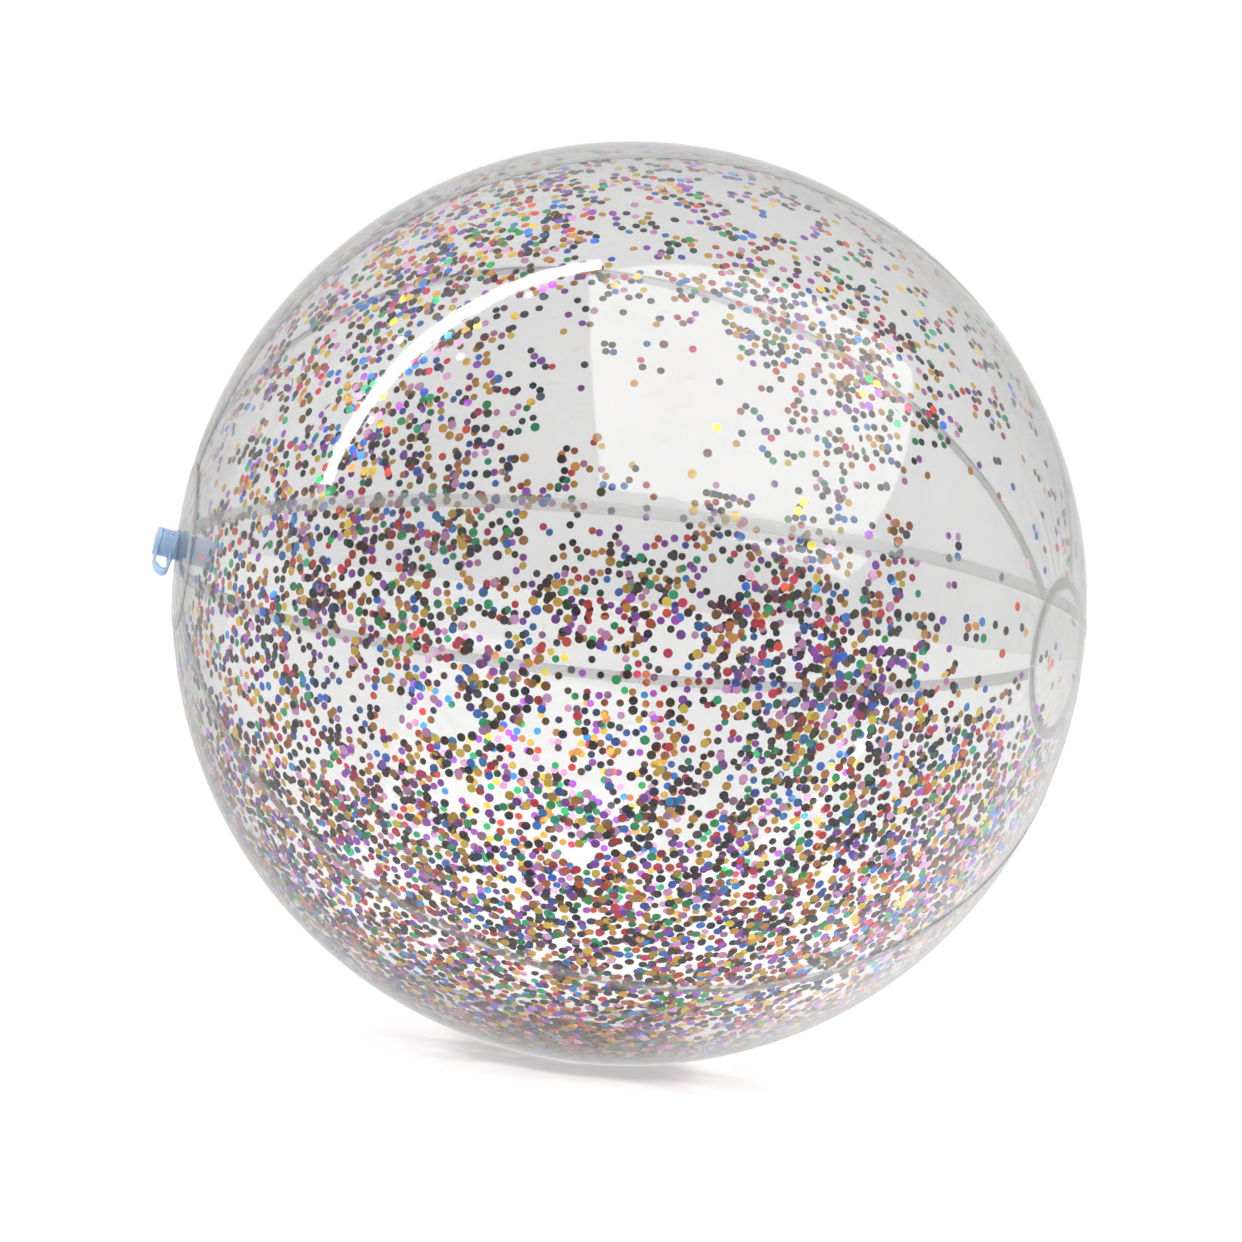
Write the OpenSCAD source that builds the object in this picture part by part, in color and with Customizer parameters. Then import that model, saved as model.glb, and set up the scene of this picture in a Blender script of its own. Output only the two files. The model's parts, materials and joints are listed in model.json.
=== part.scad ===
// Clear inflatable beach ball with loose foil confetti inside.
// Six film gores lap over each other and meet two end discs; the valve is in one of the discs.
// Frame: +Z up, origin at the lowest point of the ball, polar axis along X, valve at -X.

/* [Ball] */
// Outer radius of the inflated gores, at the ball's equator
ball_r = 175; // [120:5:300]
// How much nearer to the centre each pole is than the equator
pole_flat = 2.6; // [0.5:0.1:4]
// Thickness of the film
film = 0.3; // [0.2:0.05:0.5]
// Number of gores round the ball
gore_count = 6; // [6:1:6]
// Angle of the first seam round the polar axis, from straight up
first_seam = 40.5; // [0:0.5:59.5]
// Width of the margin that laps over the next gore
lap_w = 4.5; // [3:0.5:8]
// Width of the margin's own step up onto the next gore
joggle_w = 1; // [0.5:0.5:2]

/* [End discs] */
// Half-angle of an end disc, seen from the centre of the gores' curve
disc_angle = 9.8; // [9:0.1:14]
// Half-angle of the opening that the gores leave under each disc
opening_angle = 8.4; // [7:0.1:8.8]

/* [Valve] */
// Lean of the valve away from the polar axis, upward
valve_lean = 8; // [0:1:10]
// Outer radius of the stem
stem_r = 5.3; // [4.5:0.1:6]
// Height of the stem above the film
stem_out = 6.8; // [6:0.2:10]
// Depth of the stem below the film
stem_in = 13; // [9:0.5:16]
// Radius of the inflation bore
bore_r = 2.5; // [2:0.1:2.8]
// Radius of the plug's seat in the mouth of the stem
seat_r = 3.3; // [3.1:0.1:3.8]
// Depth of the plug's seat
seat_depth = 4.4; // [4.2:0.1:6]
// Radius of the flange welded under the disc
flange_r = 12; // [10:0.5:16]
// Thickness of the flange
flange_t = 0.8; // [0.6:0.1:1.2]

/* [Plug and strap] */
// Radius of the plug's head
head_r = 5.4; // [5:0.1:6]
// Thickness of the plug's head
head_t = 1.6; // [1.2:0.1:2.4]
// Length of the plug's tapered spigot
spigot_l = 3.4; // [2.4:0.2:3.6]
// Radius of the spigot at the head
spigot_root_r = 3.2; // [2.8:0.05:3.25]
// Radius of the spigot at its tip
spigot_tip_r = 2.5; // [2:0.05:2.6]
// Width of the strap that ties the plug to the stem
strap_w = 6; // [4:0.5:8]
// Thickness of the strap
strap_t = 0.9; // [0.6:0.1:1.2]
// Turn of the strap about the valve, from hanging straight down toward -Y
strap_turn = 35; // [0:5:60]

/* [Check flap] */
// Radius of the one-way flap
flap_r = 4.4; // [3.5:0.1:5]
// Thickness of the flap
flap_t = 0.5; // [0.3:0.1:0.8]

/* [Confetti] */
// Radius of one foil dot
dot_r = 1.5; // [1:0.1:3]
// Thickness of one foil dot
dot_t = 0.1; // [0.05:0.05:0.2]
// Dots of each colour that cling to the wall
dots_per_colour = 22; // [4:1:30]
// How strongly the dots gather low down: 1 is even, less is lower
dot_settling = 0.72; // [0.5:0.02:1]
// Half-angle of the loose heap, seen from the centre of the ball
heap_angle = 16; // [8:1:24]
// Thickness of the loose heap
heap_t = 1.2; // [0.8:0.1:3]

/* [Hidden] */
$fn = 96;

gore_angle = 360 / gore_count;
inner_r = ball_r - film;
outer_r = ball_r + film;
// An end disc is a dome that meets the gores' curve at its rim, square to the same line
dome_r = ball_r - pole_flat + pole_flat / sin(disc_angle);
dome_drop = pole_flat / tan(disc_angle);
// Distance from the ball's centre to the gores' side of a disc, at the pole
pole_r = dome_r - dome_drop;
// Step of the fan that trims an arc to its angles
fan_step = 15;
// Sweep that holds a whole lap at the rim of a disc
lap_sweep = 20;
// Clearance between pieces that move apart
gap = 0.3;
// Radial clearance of the stem in its disc
stem_gap = 0.1;
// Places along the valve's own axis, from the film outward
head_base = stem_out + 0.2;
hinge_h = stem_out + 0.6;
// Distance from the valve's axis to the plug's hinge
hinge_r = 9.6;
// Knuckles of the two moulded hinges
knuckle_r = 0.45;
tongue_w = 2;
knuckle_gap = 0.15;
notch_l = 2.4;
// Corners of the strap's loop: distance from the valve's axis, height above the film
loop_path = [[4.9, 2], [10.6, 1.9], [12.4, 2.5], [12.9, 3.8], [hinge_r, hinge_h]];
// The flap's hinge
flap_hinge_r = 6.1;
flap_hinge_h = -stem_in - gap;
ear_w = 1;
ear_h = 1.4;
// Golden angle, which spreads the dots evenly
golden = 180 * (3 - sqrt(5));
// Air between the wall and the dots that cling to it
dot_gap = 0.05;
// Dots keep this far from the polar axis, clear of the stem and the discs
dot_clear_r = 38;
// Outer radius of the heap, inside the clinging dots
heap_r = ball_r - 1.2;

film_colour = [0.88, 0.9, 0.9, 0.3];
valve_colour = [0.62, 0.75, 0.9, 0.8];
colours = [
    [0.72, 0.5, 0.16], [0.5, 0.24, 0.12], [0.6, 0.08, 0.14], [0.72, 0.42, 0.6],
    [0.34, 0.16, 0.5], [0.1, 0.24, 0.6], [0.06, 0.36, 0.2], [0.16, 0.16, 0.2]
];

// Places a child drawn about Z, valve end up, on the ball's polar axis
module on_polar_axis() {
    translate([0, 0, ball_r]) rotate([0, -90, 0]) children();
}

// Places a child drawn about Z, with Z = 0 at the film, on the valve's own leaning axis
module on_valve_axis() {
    on_polar_axis() translate([0, 0, pole_r]) rotate([0, valve_lean, 0]) children();
}

// Half-section of a shell between two angles from the pole; its curve is a circle whose centre
// is off the axis by the flattening, so that the poles are nearer than the equator
module band_section(r_in, r_out, from, to, flat) {
    reach = 2 * r_out;
    turns = ceil((to - from) / fan_step);
    intersection() {
        translate([flat, 0]) difference() {
            circle(r = r_out - flat);
            circle(r = r_in - flat);
        }
        translate([flat, 0]) polygon([
            [0, 0],
            for (i = [0 : turns])
                let (a = from + (to - from) * i / turns)
                reach * [sin(a), cos(a)]
        ]);
        translate([0, -reach]) square([reach, 2 * reach]);
    }
}

// Part of a shell between two angles from the pole, turned through a sweep
module shell_band(r_in, r_out, from, to, sweep, flat = pole_flat) {
    rotate_extrude(angle = sweep) band_section(r_in, r_out, from, to, flat);
}

// A layer of an end disc's dome, between two heights over the gores' side of the disc
module dome(low, high) {
    translate([0, 0, -dome_drop]) shell_band(dome_r + low, dome_r + high, 0, disc_angle, 360, flat = 0);
}

// The margin of a gore that laps over its neighbour, of constant width from disc to disc
module lap() {
    rotate([0, 0, -lap_sweep / 2]) intersection() {
        shell_band(ball_r, outer_r, disc_angle, 180 - disc_angle, lap_sweep);
        rotate([0, 0, lap_sweep / 2])
            translate([0, -joggle_w, -outer_r]) cube([outer_r + 1, joggle_w + lap_w, 2 * outer_r]);
    }
}

// Film of a gore, or of half a gore, turned through a sweep
module gore_film(sweep) {
    shell_band(inner_r, ball_r, opening_angle, 180 - opening_angle, sweep);
}

// A gore swept from its first seam to its last
module swept_gore(i) {
    on_polar_axis() rotate([0, 0, first_seam + gore_angle * (i - 1)]) {
        gore_film(gore_angle);
        rotate([0, 0, gore_angle]) lap();
    }
}

// A gore laid as mirrored halves, each swept from the middle
module halved_gore(i) {
    on_polar_axis() rotate([0, 0, first_seam + gore_angle * (i - 0.5)]) {
        for (half = [0, 1]) mirror([0, half, 0]) gore_film(gore_angle / 2);
        rotate([0, 0, gore_angle / 2]) lap();
    }
}

// The two gores that face +Y and -Y are laid from the middle, the others from their first seam
module gore(i) {
    color(film_colour)
        if (i % 3 == 1) halved_gore(i);
        else swept_gore(i);
}

module plain_disc() {
    color(film_colour)
        on_polar_axis() mirror([0, 0, 1]) dome(0, film);
}

module valve_disc() {
    color(film_colour) difference() {
        on_polar_axis() dome(0, film);
        on_valve_axis() translate([0, 0, -stem_in]) cylinder(r = stem_r + stem_gap, h = 2 * stem_in);
    }
}

// Flange that follows the inside of the disc, square to the polar axis
module flange() {
    on_polar_axis() intersection() {
        dome(-gap - flange_t, -gap);
        translate([0, 0, pole_r - stem_in]) cylinder(r = flange_r, h = stem_in);
    }
}

// Ears beside the flap's tongue, on the stem's inner end
module flap_ears() {
    for (side = [-1, 1])
        translate([0, side * (tongue_w / 2 + knuckle_gap + ear_w / 2), 0]) rotate([90, 0, 0])
            linear_extrude(ear_w, center = true) {
                translate([flap_hinge_r, flap_hinge_h]) circle(r = knuckle_r);
                translate([stem_r - 0.5, flap_hinge_h])
                    square([flap_hinge_r - stem_r + 0.5, ear_h]);
            }
}

module valve_stem() {
    color(valve_colour) difference() {
        union() {
            on_valve_axis() {
                translate([0, 0, -stem_in]) cylinder(r = stem_r, h = stem_in + stem_out);
                flap_ears();
            }
            flange();
        }
        on_valve_axis() {
            translate([0, 0, -stem_in - 1]) cylinder(r = bore_r, h = stem_in + stem_out);
            translate([0, 0, stem_out - seat_depth]) cylinder(r = seat_r, h = seat_depth + 1);
        }
    }
}

// Straight run of a strap between two points, with round ends
module strap_run(a, b) {
    run = b - a;
    translate(a) rotate(atan2(run.y, run.x))
        translate([0, -strap_t / 2]) square([norm(run), strap_t]);
    translate(a) circle(d = strap_t);
    translate(b) circle(d = strap_t);
}

// The strap hangs beside the stem, so its section is drawn on that side
module strap_side() {
    rotate([0, 0, strap_turn]) rotate([90, 0, 180]) children();
}

module strap_loop() {
    color(valve_colour) on_valve_axis() difference() {
        strap_side() linear_extrude(strap_w, center = true)
            for (i = [1 : len(loop_path) - 1]) strap_run(loop_path[i - 1], loop_path[i]);
        translate([0, 0, -1]) cylinder(r = stem_r, h = stem_out);
        strap_side() translate([hinge_r, hinge_h, 0])
            cube([2 * notch_l, 2 * notch_l, tongue_w + 2 * knuckle_gap], center = true);
    }
}

module plug() {
    color(valve_colour) on_valve_axis() translate([0, 0, head_base]) {
        cylinder(r = head_r, h = head_t);
        translate([0, 0, -spigot_l]) cylinder(r1 = spigot_tip_r, r2 = spigot_root_r, h = spigot_l);
    }
}

module plug_strap() {
    color(valve_colour) on_valve_axis() difference() {
        strap_side() linear_extrude(tongue_w, center = true)
            strap_run([head_r - 1, hinge_h], [hinge_r, hinge_h]);
        translate([0, 0, head_base]) cylinder(r = head_r, h = head_t);
        translate([0, 0, -1]) cylinder(r = stem_r + gap, h = head_base + 1);
    }
}

module check_flap() {
    color(valve_colour) on_valve_axis() {
        translate([0, 0, flap_hinge_h - flap_t]) cylinder(r = flap_r, h = flap_t);
        rotate([90, 0, 0]) linear_extrude(tongue_w, center = true) {
            translate([flap_hinge_r, flap_hinge_h]) circle(r = knuckle_r);
            translate([0, flap_hinge_h - flap_t]) square([flap_hinge_r, flap_t]);
        }
    }
}

// Direction square to the wall at clinging dot j of n, denser low down
function dot_way(j, n) =
    let (up = 1 - 2 * pow((j + 0.5) / n, dot_settling), out = sqrt(1 - up * up), a = golden * j)
    [out * cos(a), out * sin(a), up];

module confetti(i) {
    n = dots_per_colour * len(colours);
    color(colours[i]) translate([0, 0, ball_r])
        for (k = [0 : dots_per_colour - 1])
            let (way = dot_way(k * len(colours) + i, n), off_axis = [0, way.y, way.z])
            if (ball_r * norm(off_axis) > dot_clear_r)
                translate(pole_flat * off_axis / norm(off_axis))
                    rotate([0, acos(way.z), atan2(way.y, way.x)])
                        translate([0, 0, inner_r - pole_flat - dot_gap - dot_t])
                            cylinder(r = dot_r, h = dot_t, $fn = 24);
}

module confetti_heap() {
    color(colours[1]) translate([0, 0, ball_r]) mirror([0, 0, 1])
        shell_band(heap_r - heap_t, heap_r, 0, heap_angle, 360, flat = 0);
}

gore(1);  // gore_1
gore(2);  // gore_2
gore(3);  // gore_3
gore(4);  // gore_4
gore(5);  // gore_5
gore(6);  // gore_6
valve_disc();
plain_disc();
valve_stem();
strap_loop();
plug();
plug_strap();
check_flap();
confetti(0);  // confetti_gold
confetti(1);  // confetti_copper
confetti(2);  // confetti_red
confetti(3);  // confetti_pink
confetti(4);  // confetti_purple
confetti(5);  // confetti_blue
confetti(6);  // confetti_green
confetti(7);  // confetti_silver
confetti_heap();
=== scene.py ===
import json
import math

import bmesh
import bpy
import numpy as np
from mathutils import Matrix, Vector


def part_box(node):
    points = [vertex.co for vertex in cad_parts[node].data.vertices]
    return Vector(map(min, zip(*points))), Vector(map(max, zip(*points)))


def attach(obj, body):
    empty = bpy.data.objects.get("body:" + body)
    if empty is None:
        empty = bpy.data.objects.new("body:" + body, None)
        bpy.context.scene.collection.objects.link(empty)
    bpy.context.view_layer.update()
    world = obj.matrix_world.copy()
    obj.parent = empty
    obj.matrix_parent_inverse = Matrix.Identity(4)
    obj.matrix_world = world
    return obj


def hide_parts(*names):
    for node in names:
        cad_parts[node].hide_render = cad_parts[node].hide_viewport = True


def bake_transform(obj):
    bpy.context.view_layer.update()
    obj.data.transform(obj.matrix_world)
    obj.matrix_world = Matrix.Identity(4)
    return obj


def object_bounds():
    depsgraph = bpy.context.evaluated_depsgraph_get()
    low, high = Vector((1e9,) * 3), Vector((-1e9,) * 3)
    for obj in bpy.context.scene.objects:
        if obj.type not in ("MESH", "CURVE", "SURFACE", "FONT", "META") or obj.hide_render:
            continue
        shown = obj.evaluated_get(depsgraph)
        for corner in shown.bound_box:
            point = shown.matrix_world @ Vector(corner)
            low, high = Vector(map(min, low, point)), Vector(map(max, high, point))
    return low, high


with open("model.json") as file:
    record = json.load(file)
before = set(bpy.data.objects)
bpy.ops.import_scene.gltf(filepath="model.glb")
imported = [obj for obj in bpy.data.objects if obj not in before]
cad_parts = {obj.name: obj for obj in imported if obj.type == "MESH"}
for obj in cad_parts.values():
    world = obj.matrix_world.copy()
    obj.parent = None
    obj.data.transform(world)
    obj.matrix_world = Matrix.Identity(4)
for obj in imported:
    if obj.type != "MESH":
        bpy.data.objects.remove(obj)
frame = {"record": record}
CAD_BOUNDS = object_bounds()

bl_info = {
    "name": "Confetti Beach Ball",
    "version": (1, 0, 0),
    "blender": (4, 5, 0),
    "location": "3D View > Sidebar > Beach Ball",
    "description": "Builds a clear inflatable ball with foil confetti inside, its valve and a plain studio",
    "category": "Object",
}

# ---------------------------------------------------------------- places taken from the frame
GORE_LOW = np.min([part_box("gore_%d" % i)[0] for i in range(1, 7)], axis=0)
GORE_HIGH = np.max([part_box("gore_%d" % i)[1] for i in range(1, 7)], axis=0)
CENTRE = np.array([0.0, 0.0, (GORE_LOW[2] + GORE_HIGH[2]) / 2])
MOUNTS = {m["name"]: m for m in frame["record"]["mounts"]}
VALVE_AXIS = np.array(MOUNTS["inflation_bore"]["axis"], float)
JOINTS = {j["name"]: j for j in frame["record"]["behaviour"]["joints"]}

MM = 0.001
GORES = 6
GORE_ANGLE = 2 * math.pi / GORES
FIRST_SEAM = math.radians(40.5)
# the inside of the stem and what sits on it, as heights over the film
SEAT_DEPTH = 4.4 * MM
HEAD_GAP = 0.2 * MM
HEAD_THICK = 1.6 * MM
FLAP_TOP = -13.3 * MM
FLAP_HINGE = 6.1 * MM
# radius of the hole in the disc that the stem passes through
STEM_HOLE = 5.42 * MM
# sine of the angle from an end's pole inside which no dot clings: at the valve, and at the plain disc
CLEAR_AT_VALVE = 0.225
CLEAR_AT_DISC = 0.178
# the middle of the plain disc, where a few dots cling again
DISC_MIDDLE = 0.9965
FOILS = ("gold", "copper", "red", "pink", "purple", "blue", "green", "silver")
FOIL_SHARE = (0.22, 0.10, 0.12, 0.13, 0.14, 0.13, 0.10, 0.06)


def length(name, description, default):
    return bpy.props.FloatProperty(name=name, description=description, default=default, min=0.0,
                                   unit="LENGTH")


def angle(name, description, default):
    return bpy.props.FloatProperty(name=name, description=description, default=default, subtype="ANGLE")


def colour(name, description, default):
    return bpy.props.FloatVectorProperty(name=name, description=description, default=default, size=3,
                                         min=0.0, max=1.0, subtype="COLOR")


def number(name, description, default, high):
    return bpy.props.IntProperty(name=name, description=description, default=default, min=1, max=high)


class BallSizes(bpy.types.PropertyGroup):
    """Sizes of the film and its welds"""

    radius: length("Radius", "Outer radius of the inflated gores at the equator", 0.175)
    flattening: length("Flattening", "How much nearer to the centre each pole is", 0.0026)
    film: length("Film", "Thickness of the film", 0.0003)
    lap: length("Lap", "Width of the welded margin along each seam", 0.0045)
    disc_angle: angle("Disc angle", "Half-angle of an end disc", math.radians(9.8))
    opening_angle: angle("Opening angle", "Half-angle of the gores' opening under a disc", math.radians(8.4))
    tint: colour("Film colour", "Colour of the film's haze and reflections", (0.50, 0.505, 0.50))


class ValveSizes(bpy.types.PropertyGroup):
    """Sizes of the valve, its plug and its strap"""

    stem: length("Stem radius", "Outer radius of the stem", 0.0053)
    out: length("Stem height", "Height of the stem over the film", 0.0068)
    inward: length("Stem depth", "Depth of the stem under the film", 0.013)
    bore: length("Bore", "Radius of the inflation bore", 0.0025)
    seat: length("Seat", "Radius of the plug's seat", 0.0033)
    head: length("Plug head", "Radius of the plug's head", 0.0054)
    strap: length("Strap width", "Width of the strap that ties the plug to the stem", 0.006)
    tint: colour("Vinyl colour", "Colour of the soft valve, plug and strap", (0.46, 0.66, 0.90))


class ConfettiSizes(bpy.types.PropertyGroup):
    """Sizes, numbers and colours of the foil dots"""

    dot: length("Dot radius", "Radius of one foil dot", 0.00166)
    thick: length("Dot thickness", "Thickness of one foil dot", 0.00006)
    count: number("Dots", "Dots that cling to the wall", 17500, 24000)
    heap: number("Loose dots", "Dots that lie loose at the bottom", 2200, 4000)
    seed: number("Seed", "Seed of the scatter", 7, 9999)
    gold: colour("Gold", "Gold foil", (0.86, 0.50, 0.05))
    copper: colour("Copper", "Copper foil", (0.55, 0.20, 0.05))
    red: colour("Red", "Red foil", (0.78, 0.03, 0.05))
    pink: colour("Pink", "Pink foil", (0.86, 0.40, 0.72))
    purple: colour("Purple", "Purple foil", (0.36, 0.08, 0.58))
    blue: colour("Blue", "Blue foil", (0.03, 0.22, 0.72))
    green: colour("Green", "Green foil", (0.01, 0.42, 0.15))
    silver: colour("Dark silver", "Dark silver foil", (0.07, 0.07, 0.10))


def ball():
    return bpy.context.scene.ball_sizes


def valve():
    return bpy.context.scene.valve_sizes


def dots():
    return bpy.context.scene.confetti_sizes


# ---------------------------------------------------------------- nodes
def link(tree, output, socket):
    tree.links.new(output, socket)


def add(tree, kind, inputs=None, **settings):
    n = tree.nodes.new(kind)
    for k, v in settings.items():
        setattr(n, k, v)
    for k, v in (inputs or {}).items():
        socket = n.inputs[k]
        if isinstance(v, bpy.types.NodeSocket):
            link(tree, v, socket)
        else:
            socket.default_value = v
    return n


def maths(tree, operation, a, b=0.0, clamp=False):
    return add(tree, "ShaderNodeMath", {0: a, 1: b}, operation=operation, use_clamp=clamp).outputs[0]


def ranged(tree, value, low, high, to_low, to_high):
    n = add(tree, "ShaderNodeMapRange", {"Value": value, "From Min": low, "From Max": high,
                                         "To Min": to_low, "To Max": to_high})
    return n.outputs["Result"]


def noise(tree, place, scale, detail):
    return add(tree, "ShaderNodeTexNoise", {"Vector": place, "Scale": scale, "Detail": detail}).outputs["Fac"]


def bump(tree, height, strength, distance):
    return add(tree, "ShaderNodeBump",
               {"Height": height, "Strength": strength, "Distance": distance}).outputs["Normal"]


def new_group(name, inputs, outputs):
    """An empty shader node group with its sockets and its two end nodes."""
    old = bpy.data.node_groups.get(name)
    if old:
        bpy.data.node_groups.remove(old)
    g = bpy.data.node_groups.new(name, "ShaderNodeTree")
    for label, kind, value in inputs:
        s = g.interface.new_socket(label, in_out="INPUT", socket_type=kind)
        s.default_value = value
    for label, kind in outputs:
        g.interface.new_socket(label, in_out="OUTPUT", socket_type=kind)
    return g, g.nodes.new("NodeGroupInput"), g.nodes.new("NodeGroupOutput")


def film_wear_group():
    """Cloudy haze, fine rub marks and the milky print of the welds."""
    g, gin, gout = new_group(
        "film_wear",
        [("Haze", "NodeSocketFloat", 0.02), ("Rubs", "NodeSocketFloat", 0.02),
         ("Weld", "NodeSocketFloat", 0.2), ("Ripple", "NodeSocketFloat", 0.1)],
        [("Cover", "NodeSocketFloat"), ("Roughness", "NodeSocketFloat"), ("Normal", "NodeSocketVector")])
    place = add(g, "ShaderNodeTexCoord").outputs["Object"]
    cloud = add(g, "ShaderNodeTexNoise", {"Vector": place, "Scale": 14.0, "Detail": 4.0,
                                          "Roughness": 0.6}).outputs["Fac"]
    cloudy = ranged(g, cloud, 0.35, 0.75, 0.35, 1.0)
    stretched = add(g, "ShaderNodeMapping", {"Vector": place, "Rotation": (0.4, 0.7, 0.2),
                                             "Scale": (40.0, 900.0, 240.0)}).outputs["Vector"]
    rub = noise(g, stretched, 1.0, 3.0)
    rubbed = ranged(g, rub, 0.66, 0.8, 0.0, 1.0)
    weld = add(g, "ShaderNodeAttribute", attribute_name="weld").outputs["Fac"]
    knurl = add(g, "ShaderNodeTexVoronoi", {"Vector": place, "Scale": 900.0},
                feature="F1").outputs["Distance"]
    print_mask = maths(g, "MULTIPLY", weld, ranged(g, knurl, 0.2, 0.7, 0.7, 1.0))
    cover = maths(g, "ADD", maths(g, "MULTIPLY", cloudy, gin.outputs["Haze"]),
                  maths(g, "MULTIPLY", rubbed, gin.outputs["Rubs"]))
    cover = maths(g, "ADD", cover, maths(g, "MULTIPLY", print_mask, gin.outputs["Weld"]))
    link(g, cover, gout.inputs["Cover"])
    rough = maths(g, "ADD", ranged(g, cloud, 0.3, 0.8, 0.03, 0.1), maths(g, "MULTIPLY", weld, 0.25))
    link(g, rough, gout.inputs["Roughness"])
    sheet = noise(g, place, 55.0, 2.0)
    height = maths(g, "ADD", maths(g, "MULTIPLY", sheet, gin.outputs["Ripple"]),
                   maths(g, "MULTIPLY", maths(g, "MULTIPLY", knurl, weld), 0.4))
    link(g, bump(g, height, 0.35, 0.0006), gout.inputs["Normal"])
    return g


def foil_tone_and_shade_group():
    """Each dot's own tone with painted shade on nearly a third of the dots, and the fine crinkle of cut foil.
    """
    g, gin, gout = new_group(
        "foil_sheen",
        [("Colour", "NodeSocketColor", (0.5, 0.5, 0.5, 1)), ("Spread", "NodeSocketFloat", 0.3),
         ("Crinkle", "NodeSocketFloat", 0.3)],
        [("Colour", "NodeSocketColor"), ("Roughness", "NodeSocketFloat"), ("Normal", "NodeSocketVector")])
    place = add(g, "ShaderNodeTexCoord").outputs["Object"]
    tone = add(g, "ShaderNodeAttribute", attribute_name="tone").outputs["Fac"]
    # painted shade: nearly a third of the dots are darkened to nearly black, as if they faced away from the
    # light
    painted_shade = ranged(g, tone, 0.27, 0.36, 0.12, 1.0)
    swing = maths(g, "MULTIPLY", ranged(g, tone, 0.42, 1.0, -0.3, 0.6), gin.outputs["Spread"])
    second = maths(g, "FRACT", maths(g, "MULTIPLY", tone, 7.13))
    hue = maths(g, "ADD", maths(g, "MULTIPLY", maths(g, "SUBTRACT", second, 0.5), 0.05), 0.5)
    mottle = noise(g, place, 1400.0, 2.0)
    value = maths(g, "ADD", maths(g, "ADD", swing, 1.15), ranged(g, mottle, 0.3, 0.7, -0.1, 0.1))
    # the painted shade darkens those dots' colour
    value = maths(g, "MULTIPLY", value, painted_shade)
    tinted = add(g, "ShaderNodeHueSaturation", {"Hue": hue, "Saturation": 1.0, "Value": value,
                                                "Color": gin.outputs["Colour"]})
    link(g, tinted.outputs["Color"], gout.inputs["Colour"])
    link(g, ranged(g, second, 0.0, 1.0, 0.12, 0.30), gout.inputs["Roughness"])
    crinkled = maths(g, "MULTIPLY", mottle, gin.outputs["Crinkle"])
    link(g, bump(g, crinkled, 0.5, 0.0002), gout.inputs["Normal"])
    return g


def soft_vinyl_group():
    """Slight cloudiness, bloom and grain of soft moulded vinyl."""
    g, gin, gout = new_group(
        "soft_vinyl",
        [("Colour", "NodeSocketColor", (0.5, 0.6, 0.8, 1)), ("Bloom", "NodeSocketFloat", 0.3),
         ("Grain", "NodeSocketFloat", 0.3)],
        [("Colour", "NodeSocketColor"), ("Roughness", "NodeSocketFloat"), ("Normal", "NodeSocketVector")])
    place = add(g, "ShaderNodeTexCoord").outputs["Object"]
    cloud = noise(g, place, 220.0, 3.0)
    pale = maths(g, "MULTIPLY", ranged(g, cloud, 0.35, 0.75, 0.0, 1.0), gin.outputs["Bloom"])
    mix = add(g, "ShaderNodeMix", data_type="RGBA")
    link(g, pale, mix.inputs["Factor"])
    link(g, gin.outputs["Colour"], mix.inputs[6])
    mix.inputs[7].default_value = (0.82, 0.9, 0.96, 1)
    link(g, mix.outputs[2], gout.inputs["Colour"])
    link(g, ranged(g, cloud, 0.3, 0.8, 0.26, 0.42), gout.inputs["Roughness"])
    grain = maths(g, "MULTIPLY", noise(g, place, 2600.0, 2.0), gin.outputs["Grain"])
    link(g, bump(g, grain, 0.3, 0.0001), gout.inputs["Normal"])
    return g


def group_of(name):
    """The shader group of that name, made the first time it is asked for."""
    makers = {"film_wear": film_wear_group, "foil_sheen": foil_tone_and_shade_group, "soft_vinyl": soft_vinyl_group}
    return bpy.data.node_groups.get(name) or makers[name]()


def new_material(name):
    """A material with only a Principled shader on its output."""
    m = bpy.data.materials.new(name)
    m.use_nodes = True
    m.node_tree.nodes.clear()
    t = m.node_tree
    surface = t.nodes.new("ShaderNodeBsdfPrincipled")
    out = t.nodes.new("ShaderNodeOutputMaterial")
    link(t, surface.outputs["BSDF"], out.inputs["Surface"])
    return m, t, surface


def take_surface(tree, group, surface):
    """Colour, roughness and normal of a group go to the shader."""
    for output, socket in (("Colour", "Base Color"), ("Roughness", "Roughness"), ("Normal", "Normal")):
        link(tree, group.outputs[output], surface.inputs[socket])


def film_material(name, haze, rubs, weld, ripple):
    """Clear film: a mirror seen through its own reflectance, with milky haze and welds over it."""
    m, t, s = new_material(name)
    wear = add(t, "ShaderNodeGroup", node_tree=group_of("film_wear"))
    for k, v in (("Haze", haze), ("Rubs", rubs), ("Weld", weld), ("Ripple", ripple)):
        wear.inputs[k].default_value = v
    facing = add(t, "ShaderNodeLayerWeight", {"Blend": 0.5}).outputs["Facing"]
    gloss = ranged(t, maths(t, "POWER", facing, 4.2), 0.0, 1.0, 0.085, 0.8)
    total = maths(t, "ADD", gloss, wear.outputs["Cover"], clamp=True)
    link(t, total, s.inputs["Alpha"])
    link(t, maths(t, "DIVIDE", gloss, total), s.inputs["Metallic"])
    link(t, wear.outputs["Roughness"], s.inputs["Roughness"])
    link(t, wear.outputs["Normal"], s.inputs["Normal"])
    s.inputs["Base Color"].default_value = (*ball().tint, 1)
    return m


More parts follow.
